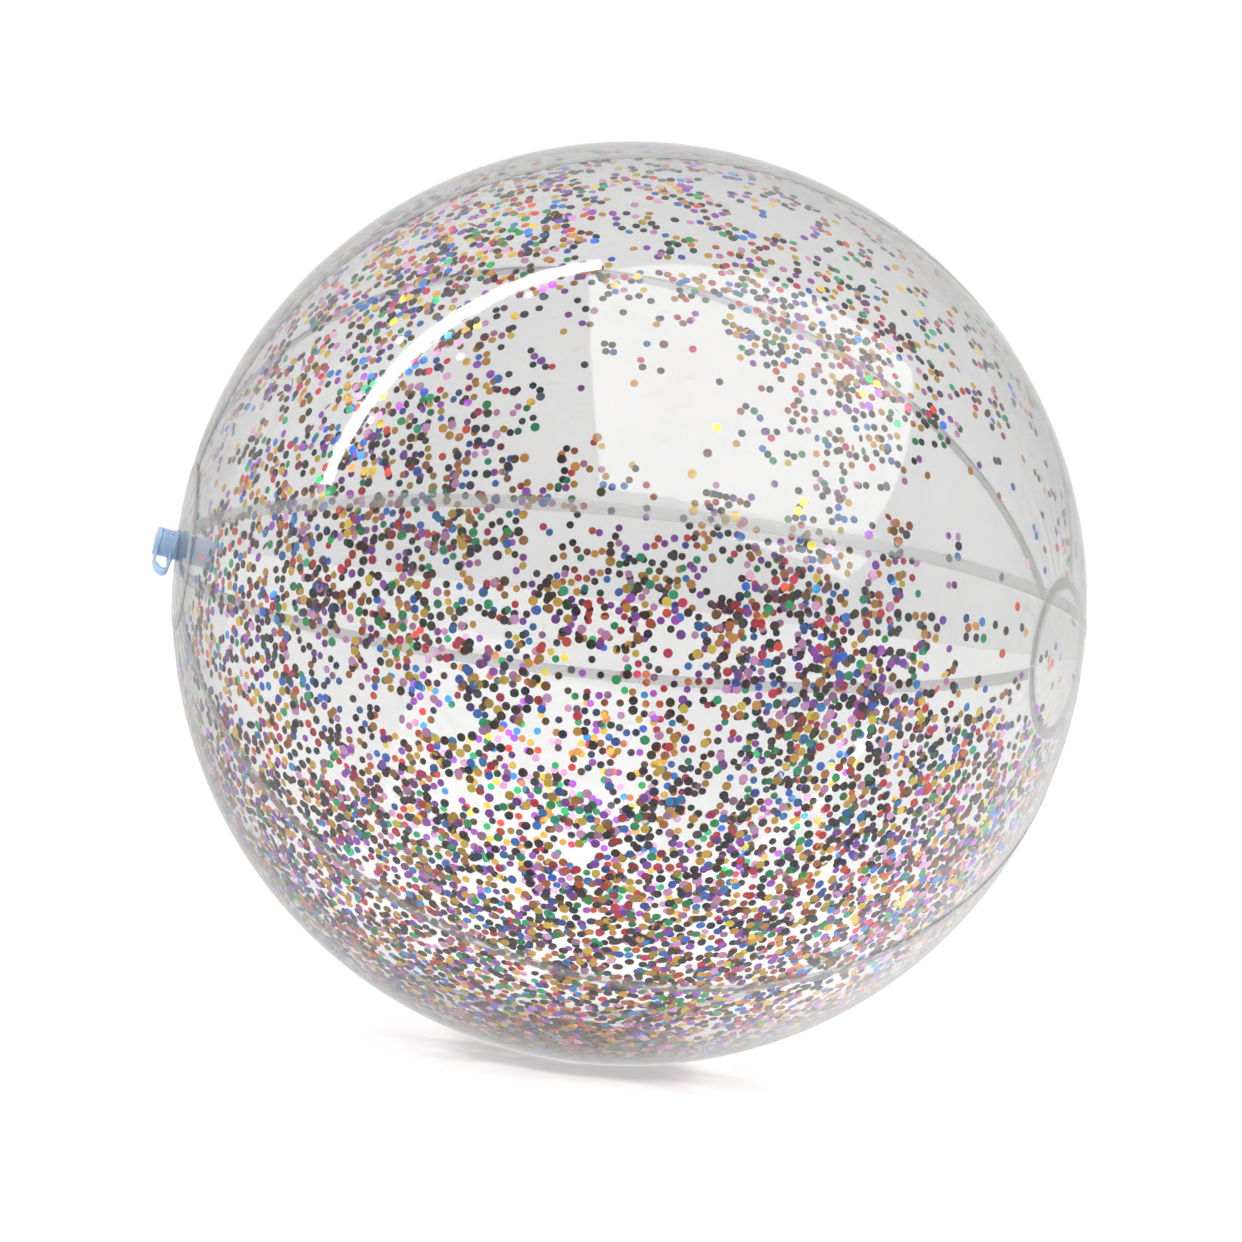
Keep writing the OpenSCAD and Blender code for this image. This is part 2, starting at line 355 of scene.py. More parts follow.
def foil_material(name, colour):
    m, t, s = new_material(name)
    # the group gives each dot its tone, its painted shade and its crinkle
    tone_and_shade_node = add(t, "ShaderNodeGroup", node_tree=group_of("foil_sheen"))
    if isinstance(colour, str):
        own = add(t, "ShaderNodeAttribute", attribute_name=colour)
        link(t, own.outputs["Color"], tone_and_shade_node.inputs["Colour"])
    else:
        tone_and_shade_node.inputs["Colour"].default_value = (*colour, 1)
    tone_and_shade_node.inputs["Spread"].default_value = 0.9
    tone_and_shade_node.inputs["Crinkle"].default_value = 0.5
    take_surface(t, tone_and_shade_node, s)
    s.inputs["Metallic"].default_value = 0.62
    return m


def vinyl_material(name, bloom, grain):
    m, t, s = new_material(name)
    soft = add(t, "ShaderNodeGroup", node_tree=group_of("soft_vinyl"))
    soft.inputs["Colour"].default_value = (*valve().tint, 1)
    soft.inputs["Bloom"].default_value = bloom
    soft.inputs["Grain"].default_value = grain
    take_surface(t, soft, s)
    s.inputs["Transmission Weight"].default_value = 0.5
    s.inputs["IOR"].default_value = 1.48
    s.inputs["Subsurface Weight"].default_value = 0.3
    s.inputs["Subsurface Radius"].default_value = (0.002, 0.003, 0.004)
    return m


# ---------------------------------------------------------------- meshes
def mesh_object(name, verts, faces, material, smooth=True):
    mesh = bpy.data.meshes.new(name)
    mesh.from_pydata(np.asarray(verts, float).tolist(), [], [list(map(int, f)) for f in faces])
    if smooth:
        mesh.shade_smooth()
    mesh.update()
    obj = bpy.data.objects.new(name, mesh)
    bpy.context.scene.collection.objects.link(obj)
    mesh.materials.append(material)
    return obj


def float_attribute(obj, name, values):
    a = obj.data.attributes.new(name, "FLOAT", "POINT")
    a.data.foreach_set("value", np.asarray(values, np.float32))


def grid_faces(rows, cols, start=0, flip=False, wrap=False):
    """Quads of a grid of rows x cols points; wrap joins the last column to the first."""
    out = []
    for i in range(rows - 1):
        for j in range(cols if wrap else cols - 1):
            k = (j + 1) % cols
            a, b = start + i * cols, start + (i + 1) * cols
            q = [a + j, a + k, b + k, b + j]
            out.append(q[::-1] if flip else q)
    return out


def closed_sheet(outer, inner):
    """A thin closed shell from two grids of the same size, outer first."""
    rows, cols = outer.shape[:2]
    n = rows * cols
    verts = np.vstack([outer.reshape(-1, 3), inner.reshape(-1, 3)])
    faces = grid_faces(rows, cols) + grid_faces(rows, cols, n, flip=True)
    ring = list(range(cols))
    ring += [i * cols + cols - 1 for i in range(1, rows)]
    ring += [(rows - 1) * cols + j for j in range(cols - 2, -1, -1)]
    ring += [i * cols for i in range(rows - 2, 0, -1)]
    for a, b in zip(ring, ring[1:] + ring[:1]):
        faces.append([b, a, n + a, n + b])
    return verts, faces


def radial(phi):
    """Unit direction away from the polar axis, at an angle from straight up."""
    return np.stack([np.zeros_like(phi), np.sin(phi), np.cos(phi)], -1)


def wall_point(phi, theta, lift=0.0):
    """Point of the gores' outer face at an angle round the polar axis and from the valve's pole."""
    s = ball()
    r = s.radius - s.flattening + lift
    axial = np.stack([-np.cos(theta), np.zeros_like(theta), np.zeros_like(theta)], -1)
    out = radial(phi)
    return (CENTRE + s.flattening * out
            + np.asarray(r)[..., None] * (axial + np.sin(theta)[..., None] * out))


def seam_distance(phi, theta):
    """Signed distance in metres to the nearest seam."""
    s = ball()
    d = (phi - FIRST_SEAM + GORE_ANGLE / 2) % GORE_ANGLE - GORE_ANGLE / 2
    rho = s.flattening + (s.radius - s.flattening) * np.sin(theta)
    return d * rho


def wall_relief(phi, theta):
    """How far the inflated film stands off its plain curve: seams pull in and pucker."""
    d = seam_distance(phi, theta)
    s = ball()
    along = theta * s.radius
    valley = -0.0003 * np.exp(-(np.abs(d) / 0.016) ** 1.5) - 0.00012 * np.exp(-(d / 0.0035) ** 2)
    rip = (np.sin(along / 0.0021 + 1.3 * np.sin(along / 0.013) + 2 * phi)
           + 0.6 * np.sin(along / 0.0034 + 4 * phi + np.sin(along / 0.021)))
    pucker = 0.00003 * rip * np.exp(-(d / 0.010) ** 2)
    pole = np.minimum(theta, math.pi - theta)
    fade = np.clip((pole - s.disc_angle) / 0.03, 0, 1) * np.exp(-np.clip(pole - s.disc_angle, 0, 9) / 0.13)
    fans = (np.sin(34 * phi + 2.2 * np.sin(3 * phi)) + 0.5 * np.sin(21 * phi + 1.1)
            + 0.7 * np.sin(57 * phi + 1.7 * np.sin(5 * phi) + 6 * theta))
    rings = 0.0001 * np.sin(along / 0.0023 + 3 * np.sin(phi * 2))
    rings = rings * np.exp(-np.clip(pole - s.disc_angle, 0, 9) / 0.2)
    swell = 0.0003 * np.sin(3 * theta + 1.3) * np.sin(2 * phi + 0.6)
    rings = rings * np.clip((pole - s.disc_angle) / 0.04, 0, 1)
    return valley + pucker + 0.00016 * fans * fade + rings + swell


def build_gores():
    s = ball()
    rows, cols = ((260, 76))
    joggle = 1.0 * MM
    film = film_material("clear_film", 0.06, 0.07, 0.09, 0.2)
    step = GORE_ANGLE
    theta = np.linspace(s.opening_angle, math.pi - s.opening_angle, rows)
    rho = s.flattening + (s.radius - s.flattening) * np.sin(theta)
    covered = (theta > s.disc_angle + 0.004) & (theta < math.pi - s.disc_angle - 0.004)
    for i in range(GORES):
        start = FIRST_SEAM + step * i
        main = np.linspace(0, 1, cols)[None, :] * (step - joggle / rho)[:, None]
        edge = np.array([0.3, 0.6, 1.0, 1.2, 2.4, 3.6, 4.7, 0, 0]) * MM
        edge[-2:] = s.lap + joggle - 0.1 * MM, s.lap + joggle
        # under the end discs the margin has no width of its own
        width = np.where(covered, 1.0, 0.02)[:, None]
        extra = (step - joggle / rho)[:, None] + edge[None, :] * width / rho[:, None]
        phi = start + np.hstack([main, extra])
        th = np.repeat(theta[:, None], phi.shape[1], 1)
        past = (phi - start - step) * rho[:, None] + joggle
        rise = np.clip(past / joggle, 0, 1)
        rise = rise * rise * (3 - 2 * rise) * np.where(covered, 1.0, 0.0)[:, None]
        relief = wall_relief(phi, th)
        lift = relief + rise * (s.film + 0.00004)
        # the film's two faces, with the free edge of the margin rounded over
        round_edge = np.zeros_like(phi)
        round_edge[:, -1] = 0.35
        outer = wall_point(phi, th, lift - round_edge * s.film)
        inner = wall_point(phi, th, lift - s.film + round_edge * s.film)
        verts, faces = closed_sheet(outer, inner)
        obj = mesh_object("film_gore_%d" % (i + 1), verts, faces, film)
        d = seam_distance(phi, th)
        weld = np.exp(-np.clip(np.abs(d - 0.0022) - 0.0022, 0, 1) / 0.0004)
        weld = weld * np.where(covered, 1, 0.6)[:, None]
        near_disc = np.exp(-np.clip(np.minimum(th, math.pi - th) - s.disc_angle, 0, 1) / 0.006)
        weld = np.clip(np.maximum(weld, near_disc * 0.7), 0, 1)
        float_attribute(obj, "weld", np.concatenate([weld.ravel(), weld.ravel()]))
        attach(obj, "ball")
        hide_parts("gore_%d" % (i + 1))


def dome_shape():
    """Radius of an end disc's dome and how far its centre lies past the ball's centre."""
    s = ball()
    r = s.radius - s.flattening + s.flattening / math.sin(s.disc_angle)
    return r, s.flattening / math.tan(s.disc_angle)


def dome_point(y, z, side, lift):
    """Point of a disc over (y, z) from the polar axis; side is -1 at the valve."""
    r, drop = dome_shape()
    x = np.sqrt(np.maximum((r + lift) ** 2 - y * y - z * z, 0)) - drop
    return np.stack([side * x, y, CENTRE[2] + z], -1)


def disc_rim():
    """Radius of a disc's rim, from the polar axis."""
    s = ball()
    return (s.radius - s.flattening) * math.sin(s.disc_angle) + s.flattening


def disc_relief(rho, phi):
    """Fine fans of wrinkles toward the rim and the raised band of its weld."""
    t = rho / disc_rim()
    fans = np.sin(26 * phi + 1.5 * np.sin(4 * phi)) + 0.6 * np.sin(43 * phi + 0.7)
    band = np.exp(-((t - 0.9) / 0.05) ** 2)
    fade = np.clip((t - 0.25) / 0.6, 0, 1) * np.clip((1 - t) / 0.04, 0, 1)
    return 0.00007 * fans * fade + 0.0001 * band


def build_disc(name, node, side, hole):
    """A round end disc of film, from the hole's edge or the middle out to its welded rim."""
    s = ball()
    rim = disc_rim()
    cols = 192
    t = np.concatenate([np.linspace(0, 0.84, 24), np.linspace(0.86, 1.0, 14)])
    phi = np.linspace(0, 2 * math.pi, cols, endpoint=False)
    rho = hole + (rim - hole) * t[:, None] + 0 * phi[None, :]
    ph = np.repeat(phi[None, :], len(t), 0)
    y, z = rho * np.sin(ph), rho * np.cos(ph)
    lift = disc_relief(rho, ph)
    if hole > 0:
        lift = lift + 0.0002 * np.exp(-(rho - hole) / 0.0008)
    tuck = np.zeros_like(rho)
    tuck[-1, :] = 0.4
    outer = dome_point(y, z, side, lift + s.film * (1 - tuck))
    inner = dome_point(y, z, side, lift + s.film * tuck)
    if hole <= 0:
        outer, inner = outer[1:], inner[1:]
        rho = rho[1:]
    rows = outer.shape[0]
    n = rows * cols
    # winding runs the other way round at the plain pole
    flip = side > 0
    verts = [outer.reshape(-1, 3), inner.reshape(-1, 3)]
    faces = grid_faces(rows, cols, 0, flip, True) + grid_faces(rows, cols, n, not flip, True)
    for j in range(cols):
        k = (j + 1) % cols
        a, b = (rows - 1) * cols + j, (rows - 1) * cols + k
        faces.append([a, b, n + b, n + a] if not flip else [b, a, n + a, n + b])
        if hole > 0:
            faces.append([k, j, n + j, n + k] if not flip else [j, k, n + k, n + j])
    if hole <= 0:
        middle = np.array(0.0)
        verts.append(np.array([dome_point(middle, middle, side, lift) for lift in (s.film, 0.0)]))
        for j in range(cols):
            k = (j + 1) % cols
            faces.append([2 * n, k, j] if not flip else [2 * n, j, k])
            faces.append([2 * n + 1, n + j, n + k] if not flip else [2 * n + 1, n + k, n + j])
    verts = np.vstack(verts)
    film = bpy.data.materials.get("disc_film") or film_material("disc_film", 0.10, 0.08, 0.26, 0.26)
    obj = mesh_object(name, verts, faces, film)
    band = np.exp(-np.clip(rim * 0.86 - rho, 0, 1) / 0.0006)
    ring = np.exp(-np.clip(rho - hole - 0.0045, 0, 1) / 0.0006) if hole > 0 else 0 * rho
    weld = np.clip(np.maximum(band, 0.8 * ring), 0, 1).ravel()
    weld = np.concatenate([weld, weld, [0, 0]] if hole <= 0 else [weld, weld])
    float_attribute(obj, "weld", weld)
    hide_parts(node)
    return obj


def build_discs():
    far = build_disc("film_plain_disc", "plain_disc", 1, 0.0)
    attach(far, "ball")
    near = build_disc("film_valve_disc", "valve_disc", -1, STEM_HOLE)
    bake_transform(near)


def valve_frame():
    """Origin on the film, outward axis, downward side and sideways of the valve."""
    r, drop = dome_shape()
    base = CENTRE - np.array([r - drop, 0, 0])
    out = VALVE_AXIS / np.linalg.norm(VALVE_AXIS)
    side = np.array([0.0, 1.0, 0.0])
    down = np.cross(side, out)
    down = down if down[2] < 0 else -down
    return base, out, down, side


def lathe(profile, base, axis, across, segments=64):
    """Closed ring surface from a closed profile of (radius, height) points."""
    axis = axis / np.linalg.norm(axis)
    other = np.cross(axis, across)
    a = np.linspace(0, 2 * math.pi, segments, endpoint=False)
    ring = np.cos(a)[:, None] * across + np.sin(a)[:, None] * other
    p = np.array(profile, float)
    verts = base + p[:, None, 0, None] * ring[None] + p[:, None, 1, None] * axis
    faces = grid_faces(len(p), segments, 0, False, True)
    last = (len(p) - 1) * segments
    for j in range(segments):
        k = (j + 1) % segments
        faces.append([last + j, last + k, k, j])
    return verts.reshape(-1, 3), faces


def rounded(points, radius, steps=4):
    """A closed outline with its corners rounded; points are (x, y) or (x, y, radius)."""
    out = []
    n = len(points)
    for i, p in enumerate(points):
        a, b, c = (np.array(points[(i + k) % n][:2], float) for k in (-1, 0, 1))
        r = p[2] if len(p) > 2 else radius
        u, v = a - b, c - b
        lu, lv = np.linalg.norm(u), np.linalg.norm(v)
        cut = min(r, lu * 0.45, lv * 0.45)
        if cut < 1e-7:
            out.append(b)
            continue
        s, e = b + u / lu * cut, b + v / lv * cut
        for k in range(steps + 1):
            t = k / steps
            out.append((1 - t) ** 2 * s + 2 * t * (1 - t) * b + t * t * e)
    return np.array(out)


def merged(parts):
    """The vertices and faces of several parts as one mesh."""
    verts, faces, n = [], [], 0
    for v, f in parts:
        verts.append(np.asarray(v, float))
        faces += [[n + i for i in q] for q in f]
        n += len(v)
    return np.vstack(verts), faces


def box_part(centre, size, bevel=0.15 * MM):
    """A small bevelled block on the valve; centre and size are (down, height, sideways)."""
    base, out, down, side = valve_frame()
    b = bmesh.new()
    bmesh.ops.create_cube(b, size=1.0)
    bmesh.ops.scale(b, vec=Vector(size), verts=b.verts)
    bmesh.ops.bevel(b, geom=list(b.edges), offset=bevel, segments=2, affect="EDGES", profile=0.5)
    c = np.array([v.co for v in b.verts]) + np.array(centre)
    verts = base + c[:, 0:1] * down + c[:, 1:2] * out + c[:, 2:3] * side
    b.verts.index_update()
    faces = [[v.index for v in f.verts] for f in b.faces]
    b.free()
    return verts, faces


def recalc(obj):
    """Faces point outward, and edges sharper than 50 degrees stay crisp."""
    b = bmesh.new()
    b.from_mesh(obj.data)
    bmesh.ops.recalc_face_normals(b, faces=b.faces)
    b.to_mesh(obj.data)
    b.free()
    obj.data.set_sharp_from_angle(angle=math.radians(50))


def vinyl_piece(name, mesh, material, bloom, grain):
    """A smooth piece of the valve's soft vinyl from its vertices and faces."""
    obj = mesh_object(name, *mesh, vinyl_material(material, bloom, grain))
    recalc(obj)
    return obj


def build_valve_body():
    v = valve()
    base, out, down, _ = valve_frame()
    r, drop = dome_shape()
    stem = rounded([
        (v.bore, -v.inward), (v.stem - 0.3 * MM, -v.inward), (v.stem, -v.inward + 0.6 * MM),
        (v.stem, 0.75 * MM), (v.stem + 0.9 * MM, 0.8 * MM), (v.stem + 0.9 * MM, 1.5 * MM),
        (v.stem, 1.9 * MM), (v.stem, v.out - 1.9 * MM), (v.stem + 0.06 * MM, v.out - 1.4 * MM),
        (v.stem + 0.06 * MM, v.out, 0.5 * MM), (v.seat, v.out, 0.4 * MM), (v.seat, v.out - SEAT_DEPTH),
        (v.bore, v.out - SEAT_DEPTH)], 0.2 * MM)
    parts = [lathe(stem, base, out, down)]
    # the flange follows the inside of the disc, square to the polar axis
    polar = np.array([-1.0, 0, 0])
    reach = np.array([v.stem - 0.8 * MM, 8 * MM, 8.6 * MM, 9.2 * MM, 11.4 * MM, 12 * MM])
    ridge = np.array([0, 0, 0.24, 0, 0, 0]) * MM
    top = [(q, math.sqrt((r - 0.3 * MM) ** 2 - q * q) - r) for q in reach]
    low = [(q, math.sqrt((r - 1.1 * MM) ** 2 - q * q) - r - g) for q, g in zip(reach, ridge)]
    parts.append(lathe(rounded(top + low[::-1], 0.15 * MM), CENTRE + polar * (r - drop), polar,
                       np.array([0, 0, -1.0])))
    for s in (-1, 1):
        parts.append(box_part((5.5 * MM, -13.0 * MM, s * 1.65 * MM), (1.6 * MM, 1.5 * MM, 1.0 * MM)))
    obj = vinyl_piece("valve_body", merged(parts), "valve_vinyl", 0.35, 0.5)
    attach(obj, "valve")
    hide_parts("valve_stem")


def strap_frame():
    """Direction from the valve's axis to the plug's hinge, and sideways of the strap."""
    base, out = valve_frame()[:2]
    toward = np.array(JOINTS["plug_hinge"]["pos_m"], float) - base
    toward -= (toward @ out) * out
    toward /= np.linalg.norm(toward)
    return toward, np.cross(out, toward)


def strap_curve():
    """Middle line of the strap from the stem's foot round the loop to the plug, (away, height)."""
    pts = np.array([[5.35, 2.45], [8.2, 2.0], [10.6, 1.95], [12.2, 2.45], [12.85, 3.8], [12.3, 5.2],
                    [11.1, 6.5], [9.7, 7.3], [8.4, 7.52], [6.9, 7.5], [5.2, 7.5]]) * MM
    out = []
    for i in range(len(pts) - 1):
        p0, p1, p2, p3 = (pts[min(max(k, 0), len(pts) - 1)] for k in (i - 1, i, i + 1, i + 2))
        for k in range(6):
            t = k / 6
            out.append(0.5 * (2 * p1 + (p2 - p0) * t + (2 * p0 - 5 * p1 + 4 * p2 - p3) * t * t
                              + (3 * p1 - p0 - 3 * p2 + p3) * t ** 3))
    out.append(pts[-1])
    return np.array(out)


def build_strap():
    v = valve()
    base, out = valve_frame()[:2]
    away, side = strap_frame()
    line = strap_curve()
    n = len(line)
    tangent = np.gradient(line, axis=0)
    tangent /= np.linalg.norm(tangent, axis=1)[:, None]
    normal = np.stack([-tangent[:, 1], tangent[:, 0]], 1)
    length = np.concatenate([[0], np.cumsum(np.linalg.norm(np.diff(line, axis=0), axis=1))])
    u = length / length[-1]
    half = v.strap / 2 * (1 - 0.22 * u) - 0.35 * MM * np.exp(-((u - 0.72) / 0.05) ** 2)
    thick = 0.45 * MM * (1 - 0.28 * np.exp(-((u - 0.74) / 0.06) ** 2))
    k = 24
    a = np.linspace(0, 2 * math.pi, k, endpoint=False)
    ca, sa = np.cos(a), np.sin(a)
    # flat strap with rounded edges and a low rib along each border
    sx = np.sign(ca) * np.abs(ca) ** 0.35
    sy = np.sign(sa) * np.abs(sa) ** 0.6 * (1 + 0.18 * np.exp(-((np.abs(sx) - 0.8) / 0.12) ** 2))
    verts = []
    for i in range(n):
        for j in range(k):
            p = line[i] + normal[i] * sy[j] * thick[i]
            verts.append(base + p[0] * away + p[1] * out + side * sx[j] * half[i])
    faces = grid_faces(n, k, 0, False, True)
    faces += [list(range(k))[::-1], [(n - 1) * k + j for j in range(k)]]
    obj = vinyl_piece("valve_strap", (verts, faces), "strap_vinyl", 0.3, 0.4)
    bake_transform(obj)
    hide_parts("strap_loop", "plug_strap")


def build_plug():
    v = valve()
    base, out, down, _ = valve_frame()
    head = v.out + HEAD_GAP
    top = head + HEAD_THICK
    profile = rounded([
        (0.02 * MM, head - 3.4 * MM), (2.3 * MM, head - 3.4 * MM, 0.3 * MM), (2.75 * MM, head - 1.9 * MM),
        (2.95 * MM, head - 1.7 * MM), (3.1 * MM, head - 0.1 * MM), (v.head - 0.2 * MM, head, 0.15 * MM),
        (v.head, head + 0.5 * MM, 0.3 * MM), (v.head - 0.1 * MM, top, 0.6 * MM),
        (3.5 * MM, top - 0.05 * MM), (3.1 * MM, top - 0.5 * MM), (1.2 * MM, top - 0.55 * MM),
        (0.9 * MM, top - 0.2 * MM), (0.02 * MM, top - 0.15 * MM)], 0.18 * MM)
    obj = vinyl_piece("valve_plug", lathe(profile, base, out, down, 72), "plug_vinyl", 0.2, 0.6)
    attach(obj, "plug")
    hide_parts("plug")


def build_flap():
    base, out, down, side = valve_frame()
    low, high = FLAP_TOP - 0.5 * MM, FLAP_TOP
    profile = rounded([
        (0.02 * MM, low), (3.9 * MM, low), (4.4 * MM, low + 0.1 * MM), (4.4 * MM, high, 0.12 * MM),
        (3.9 * MM, high), (3.6 * MM, high - 0.08 * MM), (0.02 * MM, high - 0.08 * MM)], 0.1 * MM)
    parts = [lathe(profile, base, out, down, 56),
             box_part((5.1 * MM, -13.55 * MM, 0), (2.0 * MM, 0.46 * MM, 1.96 * MM))]
    # the knuckle, with its two ends rounded in
    sides = 20
    a = np.linspace(0, 2 * math.pi, sides, endpoint=False)
    rows = []
    for across, radius in ((-1.0, 0.352), (-0.9, 0.44), (0.9, 0.44), (1.0, 0.352)):
        rows += [base + (FLAP_HINGE + radius * MM * math.cos(t)) * down
                 + (FLAP_TOP + radius * MM * math.sin(t)) * out + side * across * MM for t in a]
    pin = grid_faces(4, sides, 0, False, True)
    pin += [list(range(sides))[::-1], [3 * sides + j for j in range(sides)]]
    parts.append((np.array(rows), pin))
    obj = vinyl_piece("one_way_flap", merged(parts), "flap_vinyl", 0.5, 0.4)
    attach(obj, "flap")
    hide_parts("check_flap")


# ---------------------------------------------------------------- confetti
def dot_template(sides=12):
    a = np.linspace(0, 2 * math.pi, sides, endpoint=False)
    ring = np.stack([np.cos(a), np.sin(a), np.zeros(sides)], 1)
    verts = np.vstack([ring + [0, 0, 0.5], ring - [0, 0, 0.5], [[0, 0, 0.5], [0, 0, -0.5]]])
    faces = []
    for j in range(sides):
        k = (j + 1) % sides
        faces += [[2 * sides, j, k], [2 * sides + 1, sides + k, sides + j],
                  [j, sides + j, sides + k], [j, sides + k, k]]
    return verts, np.array(faces)


def scatter_dots(name, places, normals, dot_tones_and_shades, material, rng, curl=0.04):
    """One mesh of many foil discs, each square to its own normal."""
    c = dots()
    template, faces = dot_template()
    n, k = len(places), len(template)
    spin = rng.uniform(0, 2 * math.pi, n)
    ref = np.where(np.abs(normals[:, :1]) < 0.8, [[1.0, 0, 0]], [[0, 1.0, 0]])
    u = np.cross(normals, ref)
    u /= np.linalg.norm(u, axis=1)[:, None]
    w = np.cross(normals, u)
    uu = np.cos(spin)[:, None] * u + np.sin(spin)[:, None] * w
    ww = -np.sin(spin)[:, None] * u + np.cos(spin)[:, None] * w
    size = c.dot * rng.uniform(0.94, 1.04, n)
    bend = rng.uniform(-1, 1, n) * curl * c.dot
    x, y, z = template[:, 0], template[:, 1], template[:, 2]
    height = z[None, :] * c.thick + bend[:, None] * (x * x - 0.5)[None, :] * (np.abs(x) + np.abs(y) > 0)
    flat = x[None, :, None] * uu[:, None, :] + y[None, :, None] * ww[:, None, :]
    pts = places[:, None, :] + size[:, None, None] * flat + height[:, :, None] * normals[:, None, :]
    allf = (faces[None] + (np.arange(n) * k)[:, None, None]).reshape(-1, 3)
    obj = mesh_object(name, pts.reshape(-1, 3), allf, material, smooth=False)
    # each dot's random value, which sets its tone and whether it gets painted shade
    float_attribute(obj, "tone", np.repeat(dot_tones_and_shades, k))
    return obj


def blob(way, at, spread):
    """How near directions are to a place on the wall; spread is the half-width in degrees."""
    at = np.array(at, float)
    at /= np.linalg.norm(at)
    angle = np.degrees(np.arccos(np.clip(way @ at, -1, 1)))
    return np.exp(-(angle / spread) ** 2)


# drifts of clinging dots and patches nearly bare of them: direction, spread in degrees, strength
DRIFTS = (
    ((-0.69, -0.50, 0.53), 22, 0.35), ((-0.61, -0.27, 0.74), 16, 0.25), ((-0.64, 0.69, 0.33), 22, 0.30),
    ((-0.09, 0.49, 0.86), 18, 0.25), ((0.50, 0.54, 0.68), 13, 0.75), ((0.65, 0.55, 0.52), 11, 0.50),
    ((0.31, 0.64, 0.70), 8, 0.35), ((0.16, 0.99, 0.04), 14, 0.45), ((0.53, 0.85, 0.06), 14, 0.65),
    ((0.07, -1.00, -0.07), 10, 0.45), ((0.34, -0.94, -0.08), 12, 0.50), ((0.73, 0.68, -0.04), 12, 0.35),
    ((-0.59, -0.81, -0.01), 12, 0.30), ((-0.42, 0.91, 0.01), 18, 0.30), ((-0.82, -0.57, -0.11), 12, 0.35),
    ((-0.91, -0.33, -0.26), 14, 0.40), ((-0.34, -0.92, -0.19), 9, 0.40),
)
BARES = (
    ((-0.03, -0.86, 0.52), 27, 0.95), ((0.20, 0.87, 0.46), 16, 0.92), ((-0.66, -0.71, -0.22), 7, 0.8),
    ((-0.26, -0.93, -0.28), 7, 0.85), ((0.08, -0.97, -0.23), 8, 0.7), ((0.71, -0.68, 0.21), 20, 0.75),
    ((0.91, 0.38, 0.19), 20, 0.7),
)


def crowding(way, phi, theta):
    """Share of the wall that dots cover: more low down, in drifts and along the seams' lower sides."""
    low = np.clip((0.12 * way[:, 0] - way[:, 2] - 0.12) / 0.45, 0, 1)
    cover = 0.11 + 0.72 * low * low * (3 - 2 * low)
    d = seam_distance(phi, theta)
    ledge = np.exp(-((d * np.sign(np.sin(phi)) + 0.005) / 0.006) ** 2)
    cover = cover + 0.25 * ledge * (0.3 + low)
    for at, spread, strength in DRIFTS:
        cover = cover + strength * blob(way, at, spread)
    for at, spread, strength in BARES:
        cover = cover * (1 - strength * blob(way, at, spread))
    clumps = sum(np.sin(way @ np.array(k, float) + i) for i, k in enumerate(
        ((31, 7, -12), (-9, 28, 17), (14, -19, 33), (41, 22, 9), (-25, 37, -30), (8, 47, -21))))
    return np.clip(1.3 * cover ** 1.3 * np.exp(0.42 * clumps), 0, 1.6)


def tilted(normals, tilt, rng):
    """Normals leaned by an angle each, in a random direction."""
    r = rng.normal(size=normals.shape)
    r -= (r * normals).sum(1)[:, None] * normals
    r /= np.linalg.norm(r, axis=1)[:, None]
    return np.cos(tilt)[:, None] * normals + np.sin(tilt)[:, None] * r


def clear_of_valve(way):
    """Directions off the end discs, or on the middle of the plain one."""
    away = np.hypot(way[:, 1], way[:, 2])
    return (away > np.where(way[:, 0] < 0, CLEAR_AT_VALVE, CLEAR_AT_DISC)) | (way[:, 0] > DISC_MIDDLE)


def angles(way):
    """Angle round the polar axis from straight up, and angle from the valve's pole."""
    return np.arctan2(way[:, 1], way[:, 2]), np.arccos(np.clip(-way[:, 0], -1, 1))


def wandering_runs(rng, heads, count, step):
    """Runs of touching dots: each run wanders on from its first dot."""
    found, total = [heads], len(heads)
    way = heads
    heading = rng.normal(size=way.shape)
    while total < count:
        keep = rng.uniform(0, 1, len(way)) < 0.5
        way, heading = way[keep], heading[keep]
        if len(way) < 8:
            pick = rng.integers(0, len(heads), 2000)
            way, heading = heads[pick], rng.normal(size=(2000, 3))
        heading = heading + 1.1 * rng.normal(size=way.shape)
        heading -= (heading * way).sum(1)[:, None] * way
        heading /= np.linalg.norm(heading, axis=1)[:, None]
        way = way + heading * (step * rng.uniform(0.98, 1.2, len(way)))[:, None]
        way /= np.linalg.norm(way, axis=1)[:, None]
        ok = clear_of_valve(way) & (crowding(way, *angles(way)) > 0.05)
        way, heading = way[ok], heading[ok]
        found.append(way)
        total += len(way)
    return np.vstack(found)[:count]


def spaced(rng, ways, count, reach):
    """The first dots that lie clear of the ones before them; one in five may overlap another."""
    cells, kept = {}, []
    free = rng.uniform(0, 1, len(ways)) < 0.2
    for i, (x, y, z) in enumerate(ways.tolist()):
        a, b, c = int(x // reach), int(y // reach), int(z // reach)
        near = (q for u in (a - 1, a, a + 1) for v in (b - 1, b, b + 1) for w in (c - 1, c, c + 1)
                for q in cells.get((u, v, w), ()))
        if free[i] or all((q[0] - x) ** 2 + (q[1] - y) ** 2 + (q[2] - z) ** 2 > reach * reach for q in near):
            cells.setdefault((a, b, c), []).append((x, y, z))
            kept.append(i)
            if len(kept) == count:
                break
    return ways[kept]


